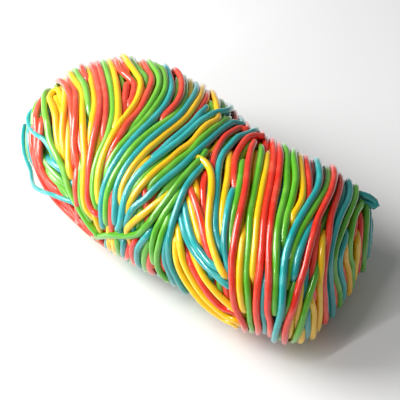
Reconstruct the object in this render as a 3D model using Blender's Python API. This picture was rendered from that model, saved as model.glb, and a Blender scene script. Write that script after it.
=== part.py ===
"""A bundle of fruit licorice laces: thin sweet strings in four colours, wound slantwise round
a long form with two lobes and a waist, with two loose ends at its left and a small loop at
its right. Everything is one solid, because the laces cling together.

Metres, +Z up, +X along the bundle, the base on z = 0.
"""

import math

import bmesh
import bpy
import numpy as np

# Driving sizes of the bundle.
BUNDLE_LENGTH = 0.175
BUNDLE_WIDTH = 0.0955
BUNDLE_HEIGHT = 0.065
LACE_DIAMETER = 0.0032
LOOSE_DIAMETER = 0.0024
LOOP_DIAMETER = 0.0030
# Where the middle of the winding stands, so that the origin is below the middle of the whole.
WINDING_X = 0.01151
WINDING_Y = -0.00098

# How full the outline is: 2 is an ellipse, and more is nearer to a box.
LEFT_END_FULLNESS = 3.45
RIGHT_END_FULLNESS = 5.3
SECTION_FULLNESS = 2.3

# The two lobes and the waist between them: place along the bundle, and reach.
LEFT_LOBE_X = -0.0517
RIGHT_LOBE_X = 0.0335
LOBE_REACH = 0.036
WAIST_X = 0.0137
WAIST_REACH = 0.018
WAIST_DEPTH = 0.038
LEFT_LOBE_WIDER = 0.023
LEFT_LOBE_TALLER = 0.053
RIGHT_LOBE_NARROWER = 0.049
RIGHT_LOBE_TALLER = 0.007
LOBE_SIDE_STEP = 0.0039
END_SLANT = 0.0057

# The laces run in upright planes turned this far from square to the bundle.
WINDING_SLANT = math.radians(38.2)
WINDING_START = -0.0775
WINDING_END = 0.0785

LACE_RADIUS = LACE_DIAMETER / 2
CORE_DEPTH = 0.0022
CORE_SEGMENTS = 22
CORE_RINGS = 12
CORE_BASE_DROP = 0.004
POINTS_PER_METRE = 59
FEWEST_POINTS = 7
LACE_BEVEL_RESOLUTION = 1
# How deep the ends of a stretch go in, and over which share of its length.
SINK = 0.0030
SINK_SHARE = 0.125
# The middle of a lace comes no nearer to the table than this share of its radius.
LEAST_HEIGHT_SHARE = 0.6
BELOW_BASE_SIZE = 0.4
# How far a search for the skin goes out from the middle of the bundle, and in how many halvings.
SEARCH_REACH = 0.2
SEARCH_HALVINGS = 32
WINDING_PLANES = 200
PLANE_REACH = 0.12
PLANE_STEPS = 241
WELD_DISTANCE = 1e-6

COLOURS = {
    "red": (0.78, 0.045, 0.022),
    "yellow": (0.86, 0.56, 0.012),
    "green": (0.15, 0.47, 0.025),
    "blue": (0.015, 0.31, 0.40),
}
LACE_ROUGHNESS = 0.22

# The main laces that show, from crest to foot: colour, and points as millimetres across the
# winding planes and degrees round them, where 0 is the near side and 90 is the top. A third
# number lifts a lace that crosses over others, in millimetres. They are closed loops.
LOOPS = (
    ("green", ((-70.5, 155), (-71.5, 125), (-70.5, 90), (-69, 62, 1), (-64, 39, 2), (-58, 26, 2),
               (-52, 8, 1), (-45, -10))),
    ("red", ((-76, 70), (-76.5, 45), (-76, 20), (-72, 0), (-64, -14), (-54, -22))),
    ("red", ((-64.5, 145), (-62, 120), (-58, 92), (-56.5, 62), (-54.5, 40))),
    ("yellow", ((-60.5, 140), (-58.5, 118), (-53.5, 92), (-50.5, 65), (-48.5, 40), (-49.5, 18),
                (-45, 3))),
    ("red", ((-49.5, 150), (-48, 130), (-43.5, 103), (-43.5, 75), (-46, 45), (-46.5, 25), (-42, 11))),
    ("green", ((-45, 150), (-43, 125), (-38.5, 97), (-37.5, 75), (-43, 46), (-44, 28), (-42, 12))),
    ("yellow", ((-36, 150), (-35, 130), (-28, 112), (-25, 104), (-29.5, 83), (-38.5, 59), (-42, 35))),
    ("red", ((-25, 145), (-22, 121), (-19.3, 110), (-24.5, 87), (-33, 66), (-40, 45), (-41.5, 22))),
    ("blue", ((-14, 145), (-9.8, 118), (-11, 103), (-22.5, 76), (-32, 57), (-38, 33), (-38, 5))),
    ("green", ((-5, 145), (-3.2, 115), (-10, 91), (-20, 75), (-30, 55), (-36, 30), (-36, 0))),
    ("yellow", ((5, 138), (3, 115), (-6, 94), (-16, 74), (-26, 54), (-31, 30), (-32, 0))),
    ("blue", ((18.5, 145, 1), (14, 121, 1), (4, 100, 1), (-5, 82), (-15, 65), (-25, 46), (-30.5, 25),
              (-31, 0))),
    ("blue", ((25, 138), (16, 114), (8, 91.5), (-5, 64.5), (-15, 49), (-25, 32), (-29, 8))),
    ("green", ((9, 80), (2, 73), (-6, 56), (-14, 38, 2), (-22, 18, 3), (-31, 6, 3), (-40, -9, 2),
               (-46, -24))),
    ("blue", ((33, 140), (27, 121), (18, 98), (12.5, 80), (11.3, 58), (14, 38), (18, 20))),
    ("red", ((28.5, 125), (27.5, 105), (25, 78), (18.5, 42), (17.5, 30), (18.5, 15), (24, -12))),
    ("red", ((38.3, 135), (37.5, 105), (34, 75), (31.5, 50), (29, 25), (29, 8), (32, -25))),
    ("red", ((41.5, 145), (42, 118), (39.5, 90), (35.5, 62), (34.5, 35), (34.5, 5), (37, -18))),
    ("green", ((44.5, 150), (44.5, 120), (42, 80), (38, 45), (37.5, 15), (40, -25))),
    ("blue", ((60.5, 155), (59, 120), (56.5, 88), (49, 68), (41.5, 38), (39.5, 5), (37.5, -20))),
    ("red", ((66.5, 155), (65.6, 120), (62.5, 85), (55, 62), (48.5, 38), (42, 2), (42, -28))),
    ("red", ((69.3, 155), (68.6, 120), (66.5, 85), (59, 52), (57, 28), (58, -5), (60.5, -25))),
    ("blue", ((74.5, 155), (73, 115), (71, 72), (63, 48), (59.8, 25), (62, -5), (64, -25))),
    ("green", ((76.5, 130), (75.8, 85), (71, 52), (63.5, 30), (64, 5), (68, -22))),
    ("blue", ((-1, 60), (-4, 48), (-8, 33), (-10, 15), (-8.5, -8), (-4, -26))),
    ("yellow", ((-5.5, 32), (-5, 12), (1, -4), (10, -17))),
)

# Laces whose two ends go in under the others.
STRETCHES = (
    ("blue", ((-5, 52), (-1, 36), (6, 29), (13, 23), (18, 18))),
    ("red", ((-1, 24), (4, 11), (11, -3), (22, -13))),
    ("yellow", ((2, 82), (7, 77, 2), (10.5, 68, 1.5), (9.2, 50, 1), (12, 33), (16, 25))),
)

# The thin loose ends and the loop stand clear of the winding: millimetres in X, Y and Z.
LOOSE_ENDS = (
    (LOOSE_DIAMETER, ((-84.8, -18.8, 50.3), (-84.4, -23.1, 48.9), (-79.2, -27.9, 48), (-70.1, -32.5, 51.2),
                      (-62.7, -34.5, 53), (-55.4, -37, 51.1), (-51.1, -37.8, 47))),
    (LOOSE_DIAMETER, ((-114, 0, 12), (-110, -5.5, 11), (-104, -11.5, 11), (-99, -16, 11.5), (-92, -21, 13),
                      (-84, -26.5, 15), (-76.5, -33, 18), (-68.5, -39, 22), (-60, -42, 26), (-52, -44, 30.5),
                      (-44.5, -44.8, 33), (-37.4, -44.9, 34.6), (-33, -43.5, 33.4))),
    (LOOP_DIAMETER, ((68.2, 32.6, 46), (72, 31.6, 48), (75.2, 31.6, 49), (78.3, 33.9, 47.5), (80.7, 35.6, 45),
                     (82.6, 35.9, 43.3), (82.3, 34, 42.8), (78.8, 33.4, 43.8), (76, 31.9, 45),
                     (72.5, 31.3, 45))),
)


def bump(x, middle, reach):
    return np.exp(-(((x - middle) / reach) ** 2))


def skin_level(x, y, z):
    """Under 1 inside the bundle's outer skin, 1 on it, and over 1 outside."""
    left = bump(x, LEFT_LOBE_X, LOBE_REACH)
    right = bump(x, RIGHT_LOBE_X, LOBE_REACH)
    waist = 1 - WAIST_DEPTH * bump(x, WAIST_X, WAIST_REACH)
    taller = 1 + LEFT_LOBE_TALLER * left + RIGHT_LOBE_TALLER * right
    half_width = BUNDLE_WIDTH / 2 * waist * (1 + LEFT_LOBE_WIDER * left - RIGHT_LOBE_NARROWER * right)
    half_height = BUNDLE_HEIGHT / 2 * waist * taller
    across = (y - LOBE_SIDE_STEP * (left - right)) / half_width
    above = (z - BUNDLE_HEIGHT / 2 * taller) / half_height
    along = x + END_SLANT * (across + above)
    fullness = np.where(along < 0, LEFT_END_FULLNESS, RIGHT_END_FULLNESS)
    section = (np.abs(across) ** SECTION_FULLNESS + np.abs(above) ** SECTION_FULLNESS) ** (
        1 / SECTION_FULLNESS
    )
    return (np.abs(along) / (BUNDLE_LENGTH / 2)) ** fullness + section**fullness


def reach_skin(start, direction):
    """How far the skin is from each start along each direction, by halving the interval."""
    near = np.zeros(len(start))
    far = np.full(len(start), SEARCH_REACH)
    for _ in range(SEARCH_HALVINGS):
        middle = (near + far) / 2
        point = start + direction * middle[:, None]
        outside = skin_level(*point.T) > 1
        far = np.where(outside, middle, far)
        near = np.where(outside, near, middle)
    return near


ACROSS = np.array((math.cos(WINDING_SLANT), math.sin(WINDING_SLANT), 0.0))
AWAY = np.array((-math.sin(WINDING_SLANT), math.cos(WINDING_SLANT), 0.0))
UP = np.array((0.0, 0.0, 1.0))


def winding_planes():
    """Offsets of the winding planes, with the middle of each one's oval and its half depth."""
    offsets = np.linspace(WINDING_START, WINDING_END, WINDING_PLANES)
    steps = np.linspace(-PLANE_REACH, PLANE_REACH, PLANE_STEPS)
    mid_height = BUNDLE_HEIGHT / 2
    middles = []
    halves = []
    for offset in offsets:
        line = offset * ACROSS + steps[:, None] * AWAY + mid_height * UP
        deepest = line[np.argmin(skin_level(*line.T))][None]
        ahead = reach_skin(deepest, AWAY[None])[0]
        behind = reach_skin(deepest, -AWAY[None])[0]
        middles.append(deepest[0] + AWAY * (ahead - behind) / 2)
        halves.append((ahead + behind) / 2)
    return offsets, np.array(middles), np.array(halves)


PLANE_OFFSETS, PLANE_MIDDLES, PLANE_HALVES = winding_planes()


def winding_point(across, angle, depth):
    """Points at these offsets and angles, this deep under the skin."""
    middle = np.stack([np.interp(across, PLANE_OFFSETS, PLANE_MIDDLES[:, k]) for k in range(3)], -1)
    half = np.interp(across, PLANE_OFFSETS, PLANE_HALVES)
    direction = -np.cos(angle)[:, None] * half[:, None] * AWAY
    direction = direction + np.sin(angle)[:, None] * BUNDLE_HEIGHT / 2 * UP
    direction /= np.linalg.norm(direction, axis=1)[:, None]
    distance = reach_skin(middle, direction) - depth
    return middle + direction * distance[:, None]


def smooth_curve(points, closed, samples=400):
    """A Catmull-Rom curve through the points, read evenly in its own parameter."""
    points = np.array(points, float)
    if closed:
        turn = np.zeros(points.shape[1])
        turn[1] = -2 * math.pi
        padded = np.vstack([points[-1] - turn, points, points[0] + turn, points[1] + turn])
        spans = len(points)
    else:
        padded = np.vstack([2 * points[0] - points[1], points, 2 * points[-1] - points[-2]])
        spans = len(points) - 1
    t = np.linspace(0, spans, samples, endpoint=not closed)
    k = np.minimum(t.astype(int), spans - 1)
    f = (t - k)[:, None]
    a, b, c, d = padded[k], padded[k + 1], padded[k + 2], padded[k + 3]
    return 0.5 * (2 * b + (c - a) * f + (2 * a - 5 * b + 4 * c - d) * f**2 + (3 * b - a - 3 * c + d) * f**3)


def evenly_spaced(points, closed):
    """The same line with its points the same distance apart."""
    line = np.vstack([points, points[:1]]) if closed else points
    travelled = np.concatenate([[0], np.cumsum(np.linalg.norm(np.diff(line, axis=0), axis=1))])
    count = max(FEWEST_POINTS, round(travelled[-1] * POINTS_PER_METRE))
    wanted = np.linspace(0, travelled[-1], count, endpoint=not closed)
    return np.stack([np.interp(wanted, travelled, line[:, k]) for k in range(3)], -1)


def route_in_metres(points):
    """Rows of offset, angle in radians and lift from a lace's points."""
    return [
        (p[0] / 1000, math.radians(p[1]), (p[2] if len(p) > 2 else 0) / 1000) for p in points
    ]


def hidden_return(route, steps=4):
    """The lace's way back from its foot to its crest, underneath and behind."""
    foot = route[-1]
    crest = (route[0][0], route[0][1] - 2 * math.pi, route[0][2])
    way = []
    for k in range(1, steps + 1):
        share = k / (steps + 1)
        eased = share * share * (3 - 2 * share)
        way.append(
            (
                foot[0] + (crest[0] - foot[0]) * eased,
                foot[1] + (crest[1] - foot[1]) * share,
                0.0,
            )
        )
    return way


def loop_points(points):
    route = route_in_metres(points)
    across, angle, lift = smooth_curve(route + hidden_return(route), True).T
    return evenly_spaced(winding_point(across, angle, LACE_RADIUS - lift), True)


def stretch_points(points):
    across, angle, lift = smooth_curve(route_in_metres(points), False).T
    along = np.linspace(0, 1, len(lift))
    sunk = SINK * np.clip(1 - np.minimum(along, 1 - along) / SINK_SHARE, 0, 1)
    return evenly_spaced(winding_point(across, angle, LACE_RADIUS - lift + sunk), False)


def placed(points):
    """Bundle coordinates to the part's own frame, with no lace under the base."""
    points = points + np.array((WINDING_X, WINDING_Y, 0.0))
    points[:, 2] = np.maximum(points[:, 2], LACE_RADIUS * LEAST_HEIGHT_SHARE)
    return points


def material(name):
    found = bpy.data.materials.new("lace_" + name)
    found.use_nodes = True
    shader = found.node_tree.nodes["Principled BSDF"]
    shader.inputs["Base Color"].default_value = (*COLOURS[name], 1)
    shader.inputs["Roughness"].default_value = LACE_ROUGHNESS
    shader.inputs["Metallic"].default_value = 0
    return found


def tube(name, points, radius, closed, surface, collection):
    """A lace as a closed mesh: a bevelled curve, made a mesh with its caps welded."""
    curve = bpy.data.curves.new(name, "CURVE")
    curve.dimensions = "3D"
    curve.bevel_depth = radius
    curve.bevel_resolution = LACE_BEVEL_RESOLUTION
    curve.use_fill_caps = True
    spline = curve.splines.new("POLY")
    spline.points.add(len(points) - 1)
    for point, place in zip(spline.points, points):
        point.co = (*place, 1)
    spline.use_cyclic_u = closed
    guide = bpy.data.objects.new(name + "_guide", curve)
    collection.objects.link(guide)
    bpy.context.view_layer.update()
    evaluated = guide.evaluated_get(bpy.context.evaluated_depsgraph_get())
    mesh = bpy.data.meshes.new_from_object(evaluated)
    work = bmesh.new()
    work.from_mesh(mesh)
    bmesh.ops.remove_doubles(work, verts=work.verts, dist=WELD_DISTANCE)
    bmesh.ops.recalc_face_normals(work, faces=work.faces)
    work.to_mesh(mesh)
    work.free()
    mesh.materials.clear()
    mesh.materials.append(surface)
    lace = bpy.data.objects.new(name, mesh)
    lace.matrix_world = guide.matrix_world
    collection.objects.link(lace)
    bpy.data.objects.remove(guide)
    return lace


def core(surface, collection):
    """The packed inside of the bundle, with the flat that it rests on."""
    work = bmesh.new()
    bmesh.ops.create_uvsphere(work, u_segments=CORE_SEGMENTS, v_segments=CORE_RINGS, radius=1)
    sphere = np.array([v.co for v in work.verts])
    # The sphere's poles go to the two ends of the bundle.
    directions = np.stack(
        [
            sphere[:, 2] * BUNDLE_LENGTH / 2,
            sphere[:, 0] * BUNDLE_WIDTH / 2,
            sphere[:, 1] * BUNDLE_HEIGHT / 2,
        ],
        -1,
    )
    directions /= np.linalg.norm(directions, axis=1)[:, None]
    middle = np.tile(BUNDLE_HEIGHT / 2 * UP, (len(directions), 1))
    distance = reach_skin(middle, directions) - CORE_DEPTH
    points = middle + directions * distance[:, None]
    below = np.clip(-directions[:, 2], 0, 1)
    points[:, 2] = np.maximum(points[:, 2] - CORE_BASE_DROP * below, 0)
    points += np.array((WINDING_X, WINDING_Y, 0.0))
    for vertex, place in zip(work.verts, points):
        vertex.co = place
    mesh = bpy.data.meshes.new("lace_bundle")
    work.to_mesh(mesh)
    work.free()
    mesh.materials.append(surface)
    made = bpy.data.objects.new("lace_bundle", mesh)
    collection.objects.link(made)
    return made


def apply_boolean(target, operation, **operand):
    modifier = target.modifiers.new(operation.lower(), "BOOLEAN")
    modifier.operation = operation
    modifier.solver = "MANIFOLD"
    for name, value in operand.items():
        setattr(modifier, name, value)
    bpy.context.view_layer.update()
    evaluated = target.evaluated_get(bpy.context.evaluated_depsgraph_get())
    joined = bpy.data.meshes.new_from_object(evaluated)
    target.modifiers.remove(modifier)
    target.data = joined


def level_base(target):
    """Cuts off what the lowest laces reach under the base."""
    bpy.ops.mesh.primitive_cube_add(size=BELOW_BASE_SIZE, location=(0, 0, -BELOW_BASE_SIZE / 2))
    cutter = bpy.context.object
    cutter.name = "below_base"
    cutter.hide_render = True
    cutter.display_type = "WIRE"
    apply_boolean(target, "DIFFERENCE", operand_type="OBJECT", object=cutter)
    bpy.data.objects.remove(cutter)


def keep_largest_body(target):
    """Drops any scrap that the fusing left loose."""
    work = bmesh.new()
    work.from_mesh(target.data)
    unseen = set(work.verts)
    bodies = []
    while unseen:
        body = {unseen.pop()}
        edge = list(body)
        while edge:
            vertex = edge.pop()
            for link in vertex.link_edges:
                other = link.other_vert(vertex)
                if other in unseen:
                    unseen.discard(other)
                    body.add(other)
                    edge.append(other)
        bodies.append(body)
    bodies.sort(key=len)
    loose = [vertex for body in bodies[:-1] for vertex in body]
    bmesh.ops.delete(work, geom=loose, context="VERTS")
    work.to_mesh(target.data)
    work.free()


def build():
    for obj in list(bpy.data.objects):
        bpy.data.objects.remove(obj)
    bundle = bpy.data.collections.new("licorice_lace_bundle")
    strings = bpy.data.collections.new("laces")
    bpy.context.scene.collection.children.link(bundle)
    bpy.context.scene.collection.children.link(strings)
    surfaces = {name: material(name) for name in COLOURS}
    body = core(surfaces["green"], bundle)
    for k, (colour, points) in enumerate(LOOPS):
        tube(f"loop_{k:02d}", placed(loop_points(points)), LACE_RADIUS, True, surfaces[colour], strings)
    for k, (colour, points) in enumerate(STRETCHES):
        line = placed(stretch_points(points))
        tube(f"stretch_{k:02d}", line, LACE_RADIUS, False, surfaces[colour], strings)
    for k, (diameter, points) in enumerate(LOOSE_ENDS):
        line = evenly_spaced(smooth_curve(np.array(points) / 1000, False), False)
        tube(f"loose_{k:02d}", placed(line), diameter / 2, False, surfaces["blue"], strings)
    apply_boolean(body, "UNION", operand_type="COLLECTION", collection=strings)
    for lace in list(strings.objects):
        bpy.data.objects.remove(lace)
    bpy.data.collections.remove(strings)
    level_base(body)
    keep_largest_body(body)
    body.data.shade_smooth()


build()
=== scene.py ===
# %% [markdown]
# # A bundle of fruit licorice laces
#
# Laces are sweet, chewy strings, pressed out of a die a few millimetres wide and oiled so that
# they don't stick. A bundle is wound over a hand or a board, slipped off and laid down, and here
# it settled into two lobes with a waist. This script lays every lace that shows, each by its own
# route, and then lets the laces push each other aside as real ones do.

import math

import bmesh
import bpy
import numpy as np
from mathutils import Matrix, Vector


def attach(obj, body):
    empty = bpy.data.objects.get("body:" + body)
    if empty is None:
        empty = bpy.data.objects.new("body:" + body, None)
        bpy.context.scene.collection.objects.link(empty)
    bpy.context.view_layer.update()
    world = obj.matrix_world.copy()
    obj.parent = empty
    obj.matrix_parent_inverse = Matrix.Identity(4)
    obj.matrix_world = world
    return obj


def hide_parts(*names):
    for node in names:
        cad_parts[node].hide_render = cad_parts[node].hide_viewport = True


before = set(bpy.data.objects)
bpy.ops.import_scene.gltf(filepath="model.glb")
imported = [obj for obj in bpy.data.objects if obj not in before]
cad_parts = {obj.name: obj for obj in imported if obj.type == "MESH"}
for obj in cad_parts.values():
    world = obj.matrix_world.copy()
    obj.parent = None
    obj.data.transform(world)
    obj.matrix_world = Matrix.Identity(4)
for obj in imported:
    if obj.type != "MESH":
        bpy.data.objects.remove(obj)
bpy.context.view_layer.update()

MM = 0.001

# %% [markdown]
# ## The shape that the laces lie on
#
# Before any lace there is a form: a long rounded body, fuller at its right end, with a fat left
# lobe, a slimmer right lobe and a waist. One function says how far out a point is, so the skin is
# wherever it gives 1. Such an implicit shape could also be a sculpted mesh, but a function is
# exact everywhere, and every lace can ask it where the skin is.

# %% The form
HALF_LENGTH, HALF_WIDTH, HALF_HEIGHT = 87.5 * MM, 47.75 * MM, 32.5 * MM
LEFT_END_FULLNESS, RIGHT_END_FULLNESS, SECTION_FULLNESS = 3.45, 5.3, 2.3
LEFT_LOBE_X, RIGHT_LOBE_X, LOBE_REACH = -51.7 * MM, 33.5 * MM, 36 * MM
WAIST_X, WAIST_REACH, WAIST_DEPTH = 13.7 * MM, 18 * MM, 0.038
LEFT_LOBE_TALLER, RIGHT_LOBE_TALLER = 0.053, 0.007
LEFT_LOBE_WIDER, RIGHT_LOBE_NARROWER = 0.023, 0.049
LOBE_SIDE_STEP, END_SLANT = 3.9 * MM, 5.7 * MM
# Where the form's own middle stands, so that the origin is below the middle of the whole.
BUNDLE_SHIFT = np.array((11.51, -0.98, 0)) * MM
SEARCH_REACH, SEARCH_HALVINGS = 200 * MM, 26


def bump(x, middle, reach):
    """A smooth hump that is 1 at its middle."""
    return np.exp(-(((x - middle) / reach) ** 2))


def skin_level(x, y, z):
    """Under 1 inside the bundle, 1 on its skin, over 1 outside."""
    left = bump(x, LEFT_LOBE_X, LOBE_REACH)
    right = bump(x, RIGHT_LOBE_X, LOBE_REACH)
    waist = 1 - WAIST_DEPTH * bump(x, WAIST_X, WAIST_REACH)
    taller = 1 + LEFT_LOBE_TALLER * left + RIGHT_LOBE_TALLER * right
    wider = 1 + LEFT_LOBE_WIDER * left - RIGHT_LOBE_NARROWER * right
    across = (y - LOBE_SIDE_STEP * (left - right)) / (HALF_WIDTH * waist * wider)
    above = (z - HALF_HEIGHT * taller) / (HALF_HEIGHT * waist * taller)
    along = x + END_SLANT * (across + above)
    fullness = np.where(along < 0, LEFT_END_FULLNESS, RIGHT_END_FULLNESS)
    section = (np.abs(across) ** SECTION_FULLNESS + np.abs(above) ** SECTION_FULLNESS) ** (
        1 / SECTION_FULLNESS
    )
    return (np.abs(along) / HALF_LENGTH) ** fullness + section**fullness


def reach_skin(start, direction):
    """How far the skin is from each start along each direction, by halving the interval."""
    near, far = np.zeros(len(start)), np.full(len(start), SEARCH_REACH)
    for _ in range(SEARCH_HALVINGS):
        middle = (near + far) / 2
        outside = skin_level(*(start + direction * middle[:, None]).T) > 1
        far, near = np.where(outside, middle, far), np.where(outside, near, middle)
    return near


# %% [markdown]
# ## A map for the laces
#
# The laces don't run square to the bundle: they lie in upright planes turned 38 degrees from it.
# So a place on the skin is told by two numbers, millimetres across those planes and degrees round
# the bundle, with 0 on the near side and 90 on top. A lace is then a short row of such places.

# %% The winding planes
WINDING_SLANT = math.radians(38.2)
ACROSS = np.array((math.cos(WINDING_SLANT), math.sin(WINDING_SLANT), 0))
AWAY = np.array((-math.sin(WINDING_SLANT), math.cos(WINDING_SLANT), 0))
UP = np.array((0.0, 0.0, 1.0))
PLANE_REACH, PLANE_STEPS = 120, 481
OUTERMOST_PLANE, PLANE_STEP = 92, 0.25


def plane_middle(offset):
    """The middle of one winding plane's oval and half its depth, or None off the bundle."""
    steps = np.linspace(-PLANE_REACH, PLANE_REACH, PLANE_STEPS) * MM
    line = offset * ACROSS + steps[:, None] * AWAY + HALF_HEIGHT * UP
    levels = skin_level(*line.T)
    if levels.min() >= 1:
        return None
    deepest = line[np.argmin(levels)][None]
    ahead = reach_skin(deepest, AWAY[None])[0]
    behind = reach_skin(deepest, -AWAY[None])[0]
    return deepest[0] + AWAY * (ahead - behind) / 2, (ahead + behind) / 2


offsets = np.arange(-OUTERMOST_PLANE, OUTERMOST_PLANE, PLANE_STEP) * MM
found = [(offset, plane_middle(offset)) for offset in offsets]
PLANES = [(offset, *plane) for offset, plane in found if plane]
PLANE_OFFSETS = np.array([offset for offset, _, _ in PLANES])
PLANE_MIDDLES = np.array([middle for _, middle, _ in PLANES])
PLANE_HALVES = np.array([half for _, _, half in PLANES])
FIRST_PLANE, LAST_PLANE = PLANE_OFFSETS[0] / MM, PLANE_OFFSETS[-1] / MM
print("winding planes from", FIRST_PLANE.round(1), "to", LAST_PLANE.round(1), "mm")


def winding_point(across, angle, depth):
    """Points at these millimetres across and degrees round, this many millimetres under the skin."""
    offset, angle = across * MM, np.radians(angle)
    middle = np.stack([np.interp(offset, PLANE_OFFSETS, PLANE_MIDDLES[:, k]) for k in range(3)], -1)
    half = np.interp(offset, PLANE_OFFSETS, PLANE_HALVES)
    direction = -np.cos(angle)[:, None] * half[:, None] * AWAY
    direction = direction + np.sin(angle)[:, None] * HALF_HEIGHT * UP
    direction /= np.linalg.norm(direction, axis=1)[:, None]
    return middle + direction * (reach_skin(middle, direction) - depth * MM)[:, None]


# %% [markdown]
# ## The laces that show
#
# Each row below is one lace as it can be followed, from the crest of the bundle down to
# its foot: the colour, how it lies (0 partly under its neighbours, 1 among them, 2 over them),
# and its places on the map. Real laces were laid by hand, and no rule gives their crossings, so
# the rows stay as a list. They go lobe by lobe.

# %% The laces of the left lobe
RED, YELLOW, GREEN, BLUE = "red", "yellow", "green", "blue"
UNDER, AMONG, OVER = 0, 1, 2

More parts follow.
